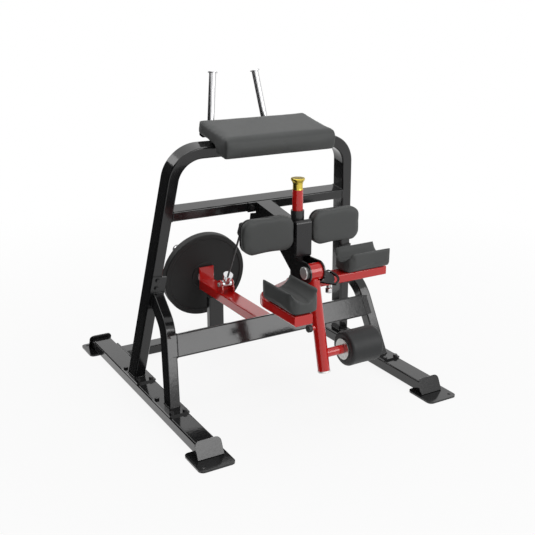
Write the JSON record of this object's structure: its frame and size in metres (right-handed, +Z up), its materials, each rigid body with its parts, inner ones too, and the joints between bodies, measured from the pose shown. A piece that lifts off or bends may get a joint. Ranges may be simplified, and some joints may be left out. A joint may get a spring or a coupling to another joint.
{
  "type": "kneeling leg curl machine",
  "caption": "Plate-loaded kneeling leg curl machine with a padded arm rest, thigh and knee pads, a swinging roller lever and a linked weight arm.",
  "frame": {"origin": "on the floor, midway between the two base rails, under the machine's middle", "axes": "+X to the user's right, +Y away from the user towards the weight plate, +Z up"},
  "size_m": [1.265, 1.6174, 1.386],
  "materials": {
    "frame_black": "gloss powder coat",
    "arm_red": "gloss powder coat",
    "bright_chrome": "polished plating",
    "zinc_steel": "zinc plated",
    "bronze": "turned bearing bronze",
    "knob_brass": "polished",
    "pad_skin": "grained upholstery over foam",
    "foam_skin": "closed-cell foam",
    "board": "moulded backing",
    "black_plastic": "fine moulded",
    "black_rubber": "moulded",
    "cover_black": "gloss",
    "plate_rubber": "moulded over a steel hub",
    "black_steel": "satin black"
  },
  "bodies": {
    "frame": {"base_rails": "frame_black", "foot_plates": "frame_black", "rail_end_plates": "frame_black", "rear_cross_tube": "frame_black", "frame_bolts": "black_steel", "hoop": "frame_black", "hoop_foot_plates": "frame_black", "front_legs": "frame_black", "front_leg_plates": "frame_black", "crossbeam": "frame_black", "upper_crossbar": "frame_black", "hub_side_plates": "frame_black", "boom_top_plate": "frame_black", "front_cover": "cover_black", "hub_bushes": "bronze", "post_sleeve": "black_steel", "knee_index_plate": "zinc_steel", "thigh_pad_left": "pad_skin", "thigh_pad_right": "pad_skin", "thigh_boards": "board", "thigh_brackets": "frame_black", "arm_pad": "pad_skin", "arm_pad_board": "board", "handle_bracket": "frame_black", "handles": "bright_chrome", "handle_end_flanges": "bright_chrome", "arm_pivot_cheeks": "frame_black", "arm_pivot_shaft": "zinc_steel", "stop_post": "frame_black", "stop_bumper": "black_rubber"},
    "lever": {"lever_hub": "arm_red", "hub_axle": "zinc_steel", "drive_crank": "black_steel", "axle_cap": "zinc_steel"},
    "lever_leg": {"lever_tube": "arm_red", "lever_end_cap": "zinc_steel", "roller_washers": "zinc_steel"},
    "lever_pin": {"lever_lock_pin": "black_plastic"},
    "roller": {"roller_sleeve": "black_plastic", "foam_roller": "foam_skin"},
    "rocker_arm": {"rocker": "black_steel"},
    "drive_link_bar": {"drive_link": "zinc_steel"},
    "lift_link_rod": {"lift_link": "black_steel", "lift_link_adjuster": "bright_chrome"},
    "weight_arm_body": {"weight_arm": "arm_red", "arm_bushes": "bronze", "weight_horn": "bright_chrome", "horn_cap": "black_plastic", "lug_bolt": "zinc_steel"},
    "plate": {"weight_plate": "plate_rubber"},
    "knee_swing_frame": {"knee_frame": "arm_red", "knee_arm_caps": "arm_red", "post_knob": "knob_brass", "post_collar": "black_steel", "knee_lock_housing": "zinc_steel", "knee_pad_plates": "board", "knee_pad_left": "pad_skin", "knee_pad_right": "pad_skin"},
    "knee_pin": {"knee_lock_pin": "zinc_steel"}
  },
  "joints": [
    {"name": "lever_swing", "type": "hinge", "parent": "frame", "child": "lever", "pos_m": [0, -0.386, 0.627], "axis": [1, 0, 0], "range_deg": [-105, 0]},
    {"name": "lever_turn", "type": "hinge", "parent": "lever", "child": "lever_leg", "pos_m": [0, -0.386, 0.627], "axis": [0, -0.2351, -0.972], "range_deg": [0, 180]},
    {"name": "lever_pin_pull", "type": "slide", "parent": "lever_leg", "child": "lever_pin", "axis": [-1, 0, 0], "range_m": [0, 0.012], "stiffness_N_per_m": 600, "springref_m": -0.004},
    {"name": "roller_spin", "type": "hinge", "parent": "lever_leg", "child": "roller", "pos_m": [0, -0.46689, 0.29265], "axis": [1, 0, 0], "continuous": true},
    {"name": "rocker_swing", "type": "hinge", "parent": "frame", "child": "rocker_arm", "pos_m": [0, 0.06, 0.69], "axis": [1, 0, 0], "range_deg": [-0.5, 55.5]},
    {"name": "drive_link_swing", "type": "hinge", "parent": "lever", "child": "drive_link_bar", "pos_m": [0.05, -0.35943, 0.58464], "axis": [1, 0, 0], "range_deg": [-0.5, 88.5]},
    {"name": "weight_arm_lift", "type": "hinge", "parent": "frame", "child": "weight_arm_body", "pos_m": [0, -0.03, 0.28], "axis": [1, 0, 0], "range_deg": [-0.2, 19.3]},
    {"name": "lift_link_swing", "type": "hinge", "parent": "weight_arm_body", "child": "lift_link_rod", "pos_m": [0, 0.388, 0.345], "axis": [1, 0, 0], "range_deg": [-16.6, 0.4]},
    {"name": "plate_slide", "type": "slide", "parent": "weight_arm_body", "child": "plate", "axis": [0, 0.9903, 0.1392], "range_m": [0, 0.28]},
    {"name": "knee_frame_swing", "type": "hinge", "parent": "frame", "child": "knee_swing_frame", "pos_m": [0, -0.266, 0.54], "axis": [0, 0, 1], "range_deg": [-50, 0]},
    {"name": "knee_pin_pull", "type": "slide", "parent": "knee_swing_frame", "child": "knee_pin", "axis": [0, 0, -1], "range_m": [0, 0.012], "stiffness_N_per_m": 700, "springref_m": -0.004}
  ],
  "couplings": [
    {"joint": "rocker_swing", "follows": "lever_swing", "ratio": -0.52381},
    {"joint": "drive_link_swing", "follows": "lever_swing", "ratio": -0.83619},
    {"joint": "weight_arm_lift", "follows": "lever_swing", "ratio": -0.18076},
    {"joint": "lift_link_swing", "follows": "lever_swing", "ratio": 0.15505}
  ]
}
